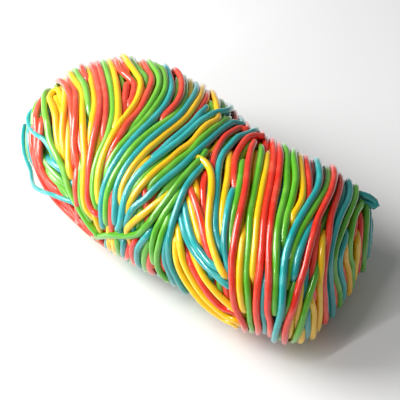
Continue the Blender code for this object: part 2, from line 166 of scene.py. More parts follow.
LEFT_LOOPS = (
    (GREEN, OVER, ((-66, 178), (-71, 165), (-75, 140), (-77, 110), (-77.3, 80), (-77, 60))),
    (GREEN, UNDER, ((-72, 165), (-73.5, 150), (-73.7, 120), (-73.5, 95))),
    (GREEN, OVER, ((-66, 175), (-70.5, 155), (-71.5, 130), (-71, 105), (-70.5, 85), (-69, 65),
                   (-67, 46), (-63, 38), (-59, 29), (-56, 19), (-52, 6), (-47, -7), (-43, -16))),
    (RED, AMONG, ((-73, 85), (-73, 65), (-73, 45), (-72, 28), (-69, 12), (-64, 4), (-58, 0), (-52, -7),
                  (-46, -14), (-41, -24))),
    (RED, OVER, ((-76, 92), (-77, 70), (-77, 45), (-76.3, 20), (-73, 0), (-67, -12), (-59, -18),
                 (-50, -22), (-45.5, -27), (-43, -34))),
    (RED, UNDER, ((-68, 105), (-68, 90), (-68, 75))),
    (YELLOW, AMONG, ((-64, 145), (-63, 130), (-61.5, 110), (-60, 92), (-59.5, 75), (-59.5, 58),
                     (-59, 42))),
    (RED, AMONG, ((-65, 150), (-64, 135), (-62, 120), (-60, 105), (-58, 92), (-57, 78), (-56.5, 62),
                  (-56, 50), (-54, 38))),
    (RED, AMONG, ((-63, 150), (-62, 135), (-60.5, 120), (-58, 105), (-55.5, 93), (-54.5, 78), (-54, 62),
                  (-53.5, 50), (-51, 38))),
    (RED, UNDER, ((-56, 95), (-53, 82), (-52, 65), (-50.5, 50), (-49, 42))),
    (YELLOW, AMONG, ((-61.5, 150), (-60.5, 135), (-58.5, 118), (-56, 105), (-53.5, 92), (-51.5, 78),
                     (-50.5, 65), (-49.5, 52), (-48.5, 42), (-49, 30), (-49.5, 18), (-48.2, 9),
                     (-45, 3.5))),
    (GREEN, AMONG, ((-59, 145), (-57, 130), (-55, 115), (-52, 102), (-50, 88), (-48.5, 78))),
    (RED, AMONG, ((-55.5, 150), (-54.5, 135), (-53, 122), (-51, 110))),
    (YELLOW, AMONG, ((-53, 140), (-51, 120), (-48.5, 104), (-46, 90), (-45.3, 78), (-46, 66),
                     (-47.5, 56), (-48.5, 45))),
    (RED, AMONG, ((-51.5, 150), (-50.5, 135), (-48, 118), (-45.5, 103), (-43.5, 90), (-44, 75),
                  (-45.5, 60), (-46.5, 45), (-46.5, 30), (-46, 18), (-43.5, 12), (-41, 11))),
    (RED, AMONG, ((-49.5, 150), (-48, 132), (-45, 115), (-42.5, 100), (-41, 88), (-40.5, 75),
                  (-41, 65))),
    (GREEN, AMONG, ((-45, 150), (-43.5, 130), (-41, 112), (-38.5, 97), (-37, 82), (-38.5, 70),
                    (-41, 58), (-43.5, 43), (-44, 28), (-42, 16))),
    (YELLOW, AMONG, ((-42, 150), (-41, 130), (-38.5, 115), (-36.5, 100), (-35, 88), (-34.5, 77),
                     (-35.5, 70))),
    (GREEN, UNDER, ((-37, 117), (-34.5, 105), (-32.5, 95))),
    (RED, AMONG, ((-40, 140), (-38, 125), (-35, 115), (-31, 110), (-28, 107), (-26.5, 103), (-28, 95),
                  (-30, 90))),
    (RED, UNDER, ((-32, 105), (-32, 92), (-32, 82))),
    (YELLOW, OVER, ((-36, 150), (-35.5, 135), (-32.5, 121), (-28, 112.5), (-24.8, 106), (-26, 95),
                    (-29.5, 83), (-34, 72), (-38.5, 59), (-41.5, 46), (-42.5, 34), (-42, 22))),
    (GREEN, AMONG, ((-30.5, 150), (-31, 135), (-29, 122), (-25, 116), (-22, 112))),
    (RED, AMONG, ((-25, 150), (-24.5, 135), (-22, 121), (-19.3, 113), (-19.5, 106), (-21.5, 97),
                  (-24.5, 87), (-29, 77), (-33, 66), (-36.5, 56), (-40, 45), (-41.5, 33), (-41.5, 22))),
    (GREEN, AMONG, ((-22, 140), (-19, 125), (-16.5, 117), (-16, 110), (-18, 101), (-21, 92), (-25, 82),
                    (-29.5, 72))),
    (GREEN, AMONG, ((-19, 132), (-15, 125), (-13, 117), (-13, 108), (-15.5, 98), (-19, 88), (-23, 79),
                    (-28, 70), (-33, 60), (-37, 50), (-39.5, 38), (-40, 25), (-39.5, 10))),
    (BLUE, AMONG, ((-14, 150), (-13, 135), (-10.5, 120), (-9.5, 112), (-11, 103), (-14, 94), (-18, 85),
                   (-22.5, 76), (-27, 67), (-32, 57), (-36, 46), (-38.5, 33), (-39, 20), (-38, 5))),
    (BLUE, UNDER, ((-13, 101), (-17, 91), (-21, 83), (-25, 75))),
    (RED, AMONG, ((-10, 150), (-9, 135), (-6.5, 123), (-5.5, 113), (-7, 104), (-10, 96), (-13.5, 88))),
    (GREEN, AMONG, ((-5, 150), (-4, 135), (-3, 120), (-3.5, 110), (-6, 100), (-10, 91), (-15, 83),
                    (-20, 75), (-25, 66), (-30, 55), (-34.5, 43), (-36.5, 30), (-37, 15), (-36.8, 7))),
    (RED, UNDER, ((-14, 82), (-18, 74), (-23, 66), (-28, 57), (-31, 48))),
    (BLUE, AMONG, ((2, 138), (2.5, 128), (1, 118), (-2, 108), (-6, 98), (-11, 88), (-16, 78), (-21, 69),
                   (-26, 59), (-30, 49), (-33, 37), (-33.5, 25), (-34, 12))),
    (YELLOW, AMONG, ((5, 145), (5, 135), (4.5, 122), (2.5, 113), (-1, 104), (-6, 94), (-11, 84),
                     (-16, 74), (-21, 65), (-26, 54), (-30, 42), (-31.5, 30))),
    (BLUE, AMONG, ((6.5, 118), (4, 109), (0, 98), (-5, 88), (-10, 78.5), (-15, 69), (-19, 62))),
    (GREEN, UNDER, ((8, 125), (9, 120), (7.5, 113))),
    (BLUE, OVER, ((14, 165), (18, 152), (18.5, 138), (16, 126), (12, 117), (8, 108), (4, 100),
                  (0, 91.5), (-5, 82), (-10, 73.5), (-15, 65), (-20, 56), (-25, 46), (-28.5, 36),
                  (-30.5, 25), (-32, 14), (-32.8, 11))),
    (YELLOW, AMONG, ((9, 150), (11, 135), (12, 125), (12.5, 113), (8, 103), (4, 94), (0, 85), (-5, 77),
                     (-10, 68), (-15, 60), (-20, 51), (-25, 41), (-29, 30), (-31, 17), (-31.3, 12))),
    (GREEN, AMONG, ((17, 125), (14.5, 117), (12, 108), (8, 97), (4, 88), (0, 79), (-5, 71), (-10, 62.5),
                    (-15, 54.5), (-20, 46))),
    (BLUE, AMONG, ((24, 135), (20, 124), (16, 114), (12, 104), (8, 91.5), (4, 81), (0, 73), (-5, 64.5),
                   (-10, 57), (-15, 49), (-20, 40), (-25, 32), (-28, 23), (-30, 12))),
    (GREEN, OVER, ((6, 84), (2, 73), (-2, 64), (-6, 55), (-10, 46), (-14, 37), (-18, 27), (-22, 17.5),
                   (-26, 12), (-31, 6), (-36, -1), (-40, -9), (-43.6, -18), (-45, -24), (-44.4, -29),
                   (-42, -32), (-38, -34), (-33, -36))),
)

LEFT_STRETCHES = (
    (YELLOW, AMONG, ((-61.5, 34), (-62.2, 45), (-63, 60), (-64, 78), (-65.8, 95), (-67.6, 110),
                     (-68, 119), (-66.3, 124), (-64.3, 118), (-62.6, 106), (-60.8, 90), (-58.6, 72),
                     (-57, 55), (-56, 40), (-55, 30))),
    (YELLOW, UNDER, ((-65.5, 110), (-64.5, 92), (-61.5, 76), (-61, 58), (-60.5, 44))),
    (GREEN, UNDER, ((-72, 25), (-64, 20), (-58, 18))),
    (BLUE, UNDER, ((-69, 22), (-64, 26), (-60, 26))),
    (GREEN, UNDER, ((-70, 15), (-62, 12), (-56, 8))),
    (BLUE, UNDER, ((-57, 26), (-51, 26))),
    (BLUE, UNDER, ((-66, 85), (-66, 70), (-65, 50), (-63, 40))),
    (BLUE, UNDER, ((-57, 120), (-55, 108))),
    (YELLOW, UNDER, ((-43, 70), (-43.5, 58), (-44.5, 45))),
    (YELLOW, UNDER, ((-21, 60), (-26, 51), (-30, 40), (-31, 30))),
    (YELLOW, UNDER, ((-10, 50), (-15, 42), (-20, 33), (-24, 26), (-27, 19), (-28.7, 13), (-28.7, 7),
                     (-28, 1), (-27.4, -6), (-27, -15), (-26, -30))),
    (GREEN, AMONG, ((-6, 52), (-9, 43), (-12, 34), (-15, 25), (-17, 12), (-17, -5))),
    (GREEN, AMONG, ((-10, 35), (-12, 25), (-13.5, 12), (-14, 0), (-13, -12), (-10, -22))),
    (GREEN, AMONG, ((-20, 15), (-21, 5), (-21.5, -10), (-21, -30))),
    (BLUE, AMONG, ((-18.5, 21), (-21.5, 12), (-23.6, 3), (-24.5, -10), (-24, -25))),
    (RED, AMONG, ((-23.6, 9), (-25, 2), (-25.5, -6), (-25, -20))),
    (BLUE, AMONG, ((-30.2, 0), (-30.6, -6), (-30.6, -14), (-30, -30))),
    (YELLOW, AMONG, ((-33.4, -4), (-33.5, -10), (-33.2, -17), (-32.5, -30))),
    (BLUE, AMONG, ((-36.4, -8), (-36.5, -14), (-36, -30))),
    (RED, AMONG, ((-17.5, 12), (-18.5, 0), (-18.5, -15), (-17.5, -30), (-17, -40))),
)

# %% The laces of the waist
WAIST_STRETCHES = (
    (BLUE, AMONG, ((6.5, 77), (3, 68), (-1, 58), (-4, 48), (-7, 36), (-9, 20), (-8.5, 5), (-6, -5),
                   (-3, -18), (-2, -28))),
    (BLUE, AMONG, ((-9, 30), (-11, 18), (-11.5, 5), (-10, -5), (-8, -25))),
    (BLUE, AMONG, ((-4, 40), (-1, 33), (3, 28), (8, 24), (13, 21), (18, 18))),
    (BLUE, AMONG, ((-2, 50), (-1, 42), (1, 36), (5, 31.5), (10, 28.5), (15, 26))),
    (YELLOW, AMONG, ((-5.5, 28), (-5.5, 18), (-4, 8), (-1, 0), (3, -7), (8, -14), (13, -19.5),
                     (18, -23), (23, -25))),
    (YELLOW, AMONG, ((-3, 28), (-1.5, 20), (1, 11), (4, 3), (8, -5), (13, -11), (18, -16), (23, -19))),
    (GREEN, UNDER, ((3, -4), (8, -9), (13, -14))),
    (RED, AMONG, ((0, 20), (3, 13), (7, 5), (11, -3), (16, -9), (22, -12))),
    (YELLOW, UNDER, ((3, 22), (7, 14), (12, 7), (17, 0), (21, -5))),
    (YELLOW, OVER, ((4, 78), (7, 77), (10, 73), (11, 66), (10, 58), (9, 48), (10, 38), (13, 30),
                    (16, 26))),
    (YELLOW, UNDER, ((4, 73), (2.5, 68), (3.5, 58))),
    (RED, AMONG, ((0, 62), (3, 56), (6, 47), (8, 38), (11, 31))),
    (YELLOW, UNDER, ((0, 52), (3, 44), (6, 36))),
    (RED, UNDER, ((6.5, 70), (5.8, 60), (6.5, 50), (7.5, 42))),
    (YELLOW, UNDER, ((12, 99), (10, 93), (8, 88))),
    (GREEN, UNDER, ((21, 110), (18, 102))),
)

# %% The laces of the right lobe
RIGHT_LOOPS = (
    (RED, AMONG, ((27, 130), (24, 124), (20, 114), (16, 104), (13, 94), (10.5, 84), (9.5, 74))),
    (BLUE, AMONG, ((31, 140), (29, 128), (26, 119), (22, 110), (18, 98), (15, 90), (12.5, 80),
                   (11.3, 68), (11.5, 55), (12.5, 45), (15, 36))),
    (RED, AMONG, ((33, 133), (30, 124), (26, 114), (23, 104), (20.5, 94), (19, 82), (18.5, 75))),
    (RED, OVER, ((29, 118), (27.5, 105), (26, 92), (25, 78), (23, 65), (20.5, 53), (18.5, 42),
                 (17.5, 32), (18.5, 15), (20.5, 3), (23, -8), (25, -20))),
    (GREEN, AMONG, ((34.5, 122), (33, 110), (31, 97), (29.5, 85), (28, 73), (26, 62), (25, 50),
                    (24.7, 35), (25, 20), (25, 5), (26, -10), (28, -25))),
    (YELLOW, AMONG, ((36, 115), (35.5, 102), (33.5, 88), (31.5, 75), (29.5, 62), (28.3, 50), (27.7, 40),
                     (27.7, 30))),
    (RED, AMONG, ((38, 135), (38.5, 120), (37.5, 105), (36, 90), (34, 75), (32.5, 62), (31.5, 50),
                  (30, 38), (29, 25), (29, 10), (30, -5), (31.5, -20))),
    (RED, AMONG, ((41, 150), (42, 135), (42, 120), (41, 105), (39.5, 90), (37.5, 77), (35.5, 62),
                  (34.5, 50), (34.5, 35), (34.3, 20), (34.5, 5), (36.5, -10))),
    (GREEN, AMONG, ((44.5, 150), (44, 135), (44.5, 120), (44, 105), (43.5, 92), (42, 80), (40, 68),
                    (38.7, 55), (38, 42), (37.5, 30), (37.5, 15), (38, 5))),
    (YELLOW, AMONG, ((47.5, 155), (47, 142), (46.5, 130))),
    (GREEN, AMONG, ((50, 155), (50.5, 145), (48.5, 132), (47.5, 118), (47.5, 100), (46.5, 88), (45, 75),
                    (43, 65), (41.5, 55))),
    (YELLOW, AMONG, ((51, 130), (51, 118), (51, 105), (51, 92), (50, 82), (48, 75), (46, 68))),
    (RED, AMONG, ((53.5, 150), (53, 135), (53.5, 120), (54, 105), (53.5, 92), (52.5, 82), (51.5, 76))),
    (RED, UNDER, ((57, 130), (57, 115), (56, 100))),
    (BLUE, OVER, ((61, 160), (59.5, 145), (59, 130), (59, 115), (58.5, 100), (56.5, 88), (53, 79),
                  (49, 68), (45.5, 58), (42.5, 47), (41.3, 35), (40.5, 20), (39.8, 8), (38, -8),
                  (37.5, -20), (38, -35))),
    (GREEN, AMONG, ((64.5, 160), (63.5, 145), (63.5, 130), (63.5, 115), (62.5, 100), (60.5, 88),
                    (57, 78), (52.5, 67), (48.5, 58), (45.5, 48), (44, 38), (43, 25))),
    (RED, OVER, ((67, 160), (66, 145), (65.7, 130), (65.5, 115), (64.5, 100), (62.5, 85), (59, 72),
                 (55, 62), (51.5, 50), (48.5, 38), (45.5, 25), (43.5, 12), (41.8, 0), (41.3, -12),
                 (42, -28), (44, -42))),
    (RED, AMONG, ((70, 165), (69, 145), (68.7, 130), (68.5, 115), (68, 100), (66.5, 85), (64, 72),
                  (60.5, 60), (58, 48), (57, 35), (57, 20), (57.5, 5), (58.7, -10), (60.5, -25))),
    (BLUE, AMONG, ((74.5, 160), (73.5, 140), (73, 120), (73, 100), (72, 80), (70.5, 68), (67, 58),
                   (63, 48), (60.5, 38), (59.7, 25), (60.5, 10), (62, -5), (63.5, -20))),
    (GREEN, AMONG, ((77, 150), (76.5, 120), (76, 100), (75.5, 80), (74, 65), (71, 52), (67, 42),
                    (63.5, 32), (63, 20), (64, 5), (66, -8), (68, -22))),
    (GREEN, AMONG, ((78, 80), (77, 60), (74, 45), (72, 32), (71.5, 20), (72.5, 0), (74.5, -15))),
)

RIGHT_STRETCHES = (
    (YELLOW, UNDER, ((17.5, 95), (17.5, 80), (16, 68), (14.5, 55), (14.5, 45))),
    (BLUE, AMONG, ((20, 70), (18, 63), (16, 53), (14.7, 42), (15.5, 32), (17, 22))),
    (GREEN, AMONG, ((24, 92), (22.5, 80), (20.5, 68), (18.5, 58), (17.5, 50), (18, 40))),
    (YELLOW, UNDER, ((31, 112), (29, 100), (28, 90))),
    (YELLOW, AMONG, ((23, 48), (22.5, 38), (22, 30), (22, 20), (22.5, 13), (23.3, 6), (24.3, 0))),
    (GREEN, UNDER, ((23.5, 15), (24, 0))),
    (BLUE, UNDER, ((32.3, 30), (32, 15), (32.7, 0), (34, -15))),
    (BLUE, UNDER, ((53, 62), (49.5, 53), (47, 43), (46, 32))),
    (GREEN, AMONG, ((57, 40), (54, 32), (51, 22), (49, 12), (47, 0), (46, -15), (46, -30))),
    (BLUE, AMONG, ((49.5, 0), (50, -15), (51, -30))),
    (YELLOW, AMONG, ((56, 48), (54.5, 38), (54, 25), (54.5, 10), (55, -5), (56, -20), (57, -40))),
    (YELLOW, AMONG, ((51, 10), (51.5, 0), (52, -15), (53, -30))),
    (BLUE, AMONG, ((68, 30), (66.5, 20), (67, 5), (69, -10), (70.5, -20))),
    (YELLOW, AMONG, ((70, 15), (70.5, 0), (72, -12), (73, -30))),
    (RED, AMONG, ((76.5, 30), (76, 20), (75.5, 12))),
    (YELLOW, AMONG, ((76, 8), (76.5, -5), (76, -20))),
)

LOOPS = LEFT_LOOPS + RIGHT_LOOPS
STRETCHES = LEFT_STRETCHES + WAIST_STRETCHES + RIGHT_STRETCHES
print(len(LOOPS), "laces go all the way round and", len(STRETCHES), "show for a stretch")

# %% [markdown]
# ## From a row of places to a line
#
# A lace is limp but has no kinks, so its line is a smooth curve through its places. A
# Catmull-Rom curve goes through every one of them, which a Bezier or NURBS curve would not do
# without extra handles.

# %% Smooth lines
FULL_TURN = 360
FEWEST_POINTS = 4


def catmull_rom(padded, t):
    """The curve through every row but the first and last, at these numbers of spans."""
    k = np.minimum(t.astype(int), len(padded) - 4)
    f = (t - k)[:, None]
    a, b, c, d = padded[k], padded[k + 1], padded[k + 2], padded[k + 3]
    curve = 2 * b + (c - a) * f + (2 * a - 5 * b + 4 * c - d) * f**2 + (3 * b - a - 3 * c + d) * f**3
    return 0.5 * curve


def smooth_curve(points, closed, samples=420):
    """A Catmull-Rom curve through rows of numbers, read evenly in its own parameter."""
    points = np.array(points, float)
    if closed:
        turn = np.zeros(points.shape[1])
        turn[1] = FULL_TURN
        padded = np.vstack([points[-1] + turn, points, points[0] - turn, points[1] - turn])
    else:
        padded = np.vstack([2 * points[0] - points[1], points, 2 * points[-1] - points[-2]])
    return catmull_rom(padded, np.linspace(0, len(padded) - 3, samples, endpoint=not closed))


def evenly_spaced(points, closed, spacing):
    """The same line with its points this far apart, in millimetres."""
    line = np.vstack([points, points[:1]]) if closed else points
    steps = np.linalg.norm(np.diff(line[:, :3], axis=0), axis=1)
    travelled = np.concatenate([[0], np.cumsum(steps)])
    count = max(FEWEST_POINTS, round(travelled[-1] / (spacing * MM)))
    wanted = np.linspace(0, travelled[-1], count, endpoint=not closed)
    return np.stack([np.interp(wanted, travelled, line[:, k]) for k in range(line.shape[1])], -1)


# %% [markdown]
# A lace that goes round is closed below and behind the bundle by a rule: it drifts back to where
# it started, and dives under its neighbours where its row ends. A lace that shows for a stretch
# only comes up from under the others and goes in again.

# %% Routes
RADIUS = 1.6
LIFT = {UNDER: -1.3, AMONG: 0.0, OVER: 2.2}
# Depths, in millimetres: of a lace that has gone in under the others, and of one out of sight.
DIVED = RADIUS + 4.6
OUT_OF_SIGHT = RADIUS + 0.8
# How firmly a lace keeps to its route: where it shows, at its dives, and out of sight.
FIRM, LOOSE, LIMP = 1.0, 0.3, 0.2
# A lace whose row ends above an angle dives: that angle, then millimetres across and degrees on.
DIVES = ((-10, 0.5, 14), (20, 1, 38))
# A row that starts below this angle comes up there, from this many degrees before.
LOW_START, RISE = 128, 16
# A stretch that ends below this angle goes on under the bundle for this many degrees.
LOW_END, GOES_ON = -8, 35
DIVE_STEP = 8


def closed_route(layer, places):
    """Rows of across, angle, depth and hold for a lace that goes all the way round."""
    depth = RADIUS - LIFT[layer]
    rows = [(across, angle, depth, FIRM) for across, angle in places]
    foot, crest = rows[-1], (rows[0][0], rows[0][1] - FULL_TURN)
    below = [(foot[0] + across, foot[1] - degrees, DIVED, LOOSE)
             for limit, across, degrees in DIVES if foot[1] > limit]
    start = (below or rows)[-1]
    hidden = []
    for share in (0.2, 0.4, 0.6, 0.8):
        eased = share * share * (3 - 2 * share)
        across = start[0] + (crest[0] - start[0]) * eased
        hidden.append((across, start[1] + (crest[1] - start[1]) * share, OUT_OF_SIGHT, LIMP))
    if rows[0][1] < LOW_START:
        hidden[-1] = (crest[0], crest[1] + RISE, DIVED, LOOSE)
    return rows + below + hidden


def open_route(layer, places):
    """The same rows for a lace that comes out from under the others and goes in again."""
    depth = RADIUS - LIFT[layer]
    rows = [(across, angle, depth, FIRM) for across, angle in places]
    if rows[-1][1] < LOW_END:
        rows.append((rows[-1][0], rows[-1][1] - GOES_ON, OUT_OF_SIGHT, LOOSE))
    step_in = np.subtract(rows[0][:2], rows[1][:2]).astype(float)
    step_out = np.subtract(rows[-1][:2], rows[-2][:2]).astype(float)
    step_in *= DIVE_STEP / max(DIVE_STEP, abs(step_in).max())
    step_out *= DIVE_STEP / max(DIVE_STEP, abs(step_out).max())
    before = (*(rows[0][:2] + step_in), DIVED, LOOSE)
    after = (*(rows[-1][:2] + step_out), DIVED, LOOSE)
    return [before, *rows, after]


# %% [markdown]
# Every lace becomes a line of points a small step apart, so that it can be pushed about later.

# %% Laying the laces
NODE_SPACING = 2.3
random = np.random.default_rng(11)
lines = []


def add_line(colour, points, hold, closed, radius=RADIUS):
    lines.append({"colour": colour, "points": points, "hold": hold, "closed": closed, "radius": radius})


def lay(colour, route, closed):
    """Puts a lace along a route of rows, never higher than the highest of them."""
    across, angle, depth, hold = smooth_curve(route, closed).T
    points = winding_point(across, angle, np.maximum(depth, min(row[2] for row in route)))
    rows = evenly_spaced(np.column_stack([points, hold]), closed, NODE_SPACING)
    add_line(colour, rows[:, :3], np.clip(rows[:, 3], LIMP, FIRM), closed)


for colour, layer, places in LOOPS:
    lay(colour, closed_route(layer, places), True)
for colour, layer, places in STRETCHES:
    lay(colour, open_route(layer, places), False)
print(len(lines), "laces laid,", sum(len(line["points"]) for line in lines), "points")

# %% [markdown]
# ## The two ends
#
# Where the bundle turns away at its two ends, no lace can be followed, so one rule closes it: a
# spiral lies at the very end, and rings go round it, each a lace's thickness from the last.

# %% The rings at the ends
END_RING_STEP = 3.3
END_CURVATURE_RADIUS = 45.0
FIRST_RING, LAST_RING = 3, 7
TOP_RING_DEPTH, LOW_RING_DEPTH = RADIUS + 0.6, RADIUS + 2.6
SPIRAL_TURNS = np.arange(0.3, 2.2, 0.1)
RING_ANGLES = range(0, FULL_TURN, 30)
colours = (RED, YELLOW, GREEN, BLUE)


def ring_across(extreme, inwards, turns):
    """Millimetres across for a ring this many steps from the very end, where the skin is round."""
    return extreme + inwards * (END_RING_STEP * turns) ** 2 / (2 * END_CURVATURE_RADIUS)


def end_rings(extreme, inwards, top_rings, end_colours):
    """A spiral at the very end, and rings round it, the outer ones lower than the laces there."""
    turn = random.uniform(0, FULL_TURN)
    spiral = [(ring_across(extreme, inwards, turns), turn - FULL_TURN * turns, TOP_RING_DEPTH, LOOSE)
              for turns in SPIRAL_TURNS]
    lay(end_colours[0], spiral, False)
    for k in range(FIRST_RING, LAST_RING + 1):
        turn = random.uniform(0, FULL_TURN)
        depth = TOP_RING_DEPTH if k <= top_rings else LOW_RING_DEPTH
        across = ring_across(extreme, inwards, k)
        rows = [(across, turn - angle, depth, LOOSE) for angle in RING_ANGLES]
        lay(end_colours[k % len(end_colours)], rows, True)


end_rings(FIRST_PLANE, 1, 3, (GREEN, RED, YELLOW))
end_rings(LAST_PLANE, -1, 6, (BLUE, YELLOW, GREEN, RED))

# %% [markdown]
# ## The laces underneath
#
# Between the laces that show, more of them are seen down in the grooves. They follow their
# neighbours, so each takes the mean of two routes side by side, a little deeper. Where neighbours
# part, a last plain layer of laces shows, which goes round at even steps.

# %% The laces in the grooves
GROOVE_DEPTH, GROOVE_SCATTER = RADIUS + 1.9, 0.4
BASE_DEPTH, BASE_STEP, BASE_MARGIN, BASE_WANDER = RADIUS + 3.9, 3.4, 6, 1.2
ANGLES = np.arange(-190.0, 171.0, 12.0)
BASE_ANGLES = range(0, FULL_TURN, 24)
TOP_ANGLE = 86


def across_at(places):
    """A closed lace's millimetres across at each of the angles."""
    across, angle, _, _ = smooth_curve(closed_route(AMONG, places), True).T
    order = np.argsort(angle)
    return np.interp(ANGLES, angle[order], across[order], period=FULL_TURN)


routes = [across_at(places) for _, _, places in LOOPS]
at_top = [route[np.argmin(abs(ANGLES - TOP_ANGLE))] for route in routes]
ordered = [routes[k] for k in np.argsort(at_top)]
for first, second in zip(ordered, ordered[1:]):
    middle = (first + second) / 2 + random.normal(0, GROOVE_SCATTER)
    rows = [(across, angle, GROOVE_DEPTH, LIMP) for across, angle in zip(middle, ANGLES)][::-1]
    lay(colours[random.integers(len(colours))], rows, True)
for across in np.arange(FIRST_PLANE + BASE_MARGIN, LAST_PLANE - BASE_MARGIN, BASE_STEP):
    wander = random.uniform(0, FULL_TURN)
    rows = [(across + BASE_WANDER * math.sin(math.radians(angle + wander)), -angle, BASE_DEPTH, LIMP)
            for angle in BASE_ANGLES]
    lay(colours[random.integers(len(colours))], rows, True)
print(len(lines), "laces with those underneath")

# %% [markdown]
# ## The free ends
#
# Two laces stick out at the left and one makes a small loop at the right. They leave the skin,
# so their places are millimetres in X, Y and Z. They are a little thinner, because a lace that
# was pulled out has stretched.

# %% The loose ends
LOOSE_ENDS = (
    (1.2, ((-84.8, -18.8, 50.3), (-84.4, -23.1, 48.9), (-79.2, -27.9, 48), (-70.1, -32.5, 51.2),
           (-62.7, -34.5, 53), (-55.4, -37, 51.1), (-51.1, -37.8, 47))),
    (1.2, ((-114, 0, 12), (-110, -5.5, 11), (-104, -11.5, 11), (-99, -16, 11.5), (-92, -21, 13),
           (-84, -26.5, 15), (-76.5, -33, 18), (-68.5, -39, 22), (-60, -42, 26), (-52, -44, 30.5),
           (-44.5, -44.8, 33), (-37.4, -44.9, 34.6), (-33, -43.5, 33.4))),
    (1.5, ((68.2, 32.6, 46), (72, 31.6, 48), (75.2, 31.6, 49), (78.3, 33.9, 47.5), (80.7, 35.6, 45),
           (82.6, 35.9, 43.3), (82.3, 34, 42.8), (78.8, 33.4, 43.8), (76, 31.9, 45), (72.5, 31.3, 45))),
)
# Anything firmer than the laces of the bundle doesn't move while they settle.
FIXED = 1.5
for loose_radius, places in LOOSE_ENDS:
    points = evenly_spaced(smooth_curve(np.array(places) * MM, False), False, NODE_SPACING)
    add_line(BLUE, points, np.full(len(points), FIXED), False, loose_radius)

# %% [markdown]
# ## Letting the laces settle
#
# Laid by their routes alone, the laces would run through each other. Real ones press against
# their neighbours and slide apart. A soft-body simulation could do this, but a few hundred long
# strings are slow there, so the lines settle on their own points: every point pushes away the
# points of other laces that are nearer than two radii, is pulled back to its place, and moves
# with its own lace, because a lace is stiff. It can't enter the core or the table, or rise far
# over the skin.

# %% All points in one table
home = np.vstack([line["points"] for line in lines])
hold = np.concatenate([line["hold"] for line in lines])
owner = np.repeat(np.arange(len(lines)), [len(line["points"]) for line in lines])
radius = np.array([line["radius"] for line in lines])[owner] * MM
before = np.arange(len(home)) - 1
after = np.arange(len(home)) + 1
starts = np.concatenate([[0], np.cumsum([len(line["points"]) for line in lines])])
for line, first, last in zip(lines, starts, starts[1:]):
    before[first] = last - 1 if line["closed"] else first
    after[last - 1] = first if line["closed"] else last - 1


# %% [markdown]
# Only near points can touch, so space is cut into cells as wide as the reach. A point is then
# compared with its own cell and with 13 of the 26 round it, which meets every pair once.

# %% Near points
def near_pairs(points, reach):
    """Pairs of points of different laces that share a cell or lie in neighbouring cells."""
    cell = np.floor(points / reach).astype(np.int64)
    cell -= cell.min(axis=0) - 1
    stride = cell.max(axis=0) + 2
    key = (cell[:, 0] * stride[1] + cell[:, 1]) * stride[2] + cell[:, 2]
    order = np.argsort(key, kind="stable")
    ranked = key[order]
    firsts, seconds = [], []
    half = [(0, 0, 0), (0, 0, 1), (0, 1, -1), (0, 1, 0), (0, 1, 1)]
    half += [(1, y, z) for y in (-1, 0, 1) for z in (-1, 0, 1)]
    for x, y, z in half:
        wanted = key + (x * stride[1] + y) * stride[2] + z
        low = np.searchsorted(ranked, wanted, "left")
        count = np.searchsorted(ranked, wanted, "right") - low
        first = np.repeat(np.arange(len(key)), count)
        place = np.arange(count.sum()) - np.repeat(np.cumsum(count) - count, count)
        second = order[np.repeat(low, count) + place]
        keep = owner[first] != owner[second]
        if (x, y, z) == (0, 0, 0):
            keep &= first < second
        firsts.append(first[keep])
        seconds.append(second[keep])
    return np.concatenate(firsts), np.concatenate(seconds)


# %% [markdown]
# In each round the touching points step apart, all are pulled home a little, each lace evens out
# its own shift from home, and the core, the skin and the table hold them in.

# %% The rounds
ROUNDS = 60
FIRST_PULL, LAST_PULL = 0.05, 0.01
NEIGHBOUR_REACH = 3.8 * MM
ROUNDS_BETWEEN_SEARCHES = 4
MOST_STEP = 0.35 * MM
STIFFNESS, STIFFNESS_PASSES = 0.7, 2
# No lace goes deeper under the skin than the first of these, or further out than the second.
CORE_DEPTH, OUTER_DEPTH = 10.0, -1.2
# The level grows faster than the distance from the skin, and its cube root about as fast.
EVENER, FORM_PUSH = 1 / 3, 30 * MM
# The middle of a lace stays under the first, and over the table by this share of its radius.
HIGHEST, TABLE_CLEARANCE = 67.2 * MM, 1.12
WORTH_COUNTING = 0.8 * MM
# In metres, so that no length is ever divided by zero.
TINY = 1e-6


def level_at_depth(points, depth):
    """As skin_level, for the same form made smaller all round by this many millimetres."""
    shrink = 1 - depth * MM / np.array((HALF_LENGTH, HALF_WIDTH, HALF_HEIGHT))
    middle = HALF_HEIGHT * UP
    return skin_level(*((points - middle) / shrink + middle).T)


def outward(points):
    """The way out of the bundle at each point, as for an ellipsoid of its size."""
    direction = (points - HALF_HEIGHT * UP) / np.array((HALF_LENGTH, HALF_WIDTH, HALF_HEIGHT)) ** 2
    return direction / np.linalg.norm(direction, axis=1)[:, None]


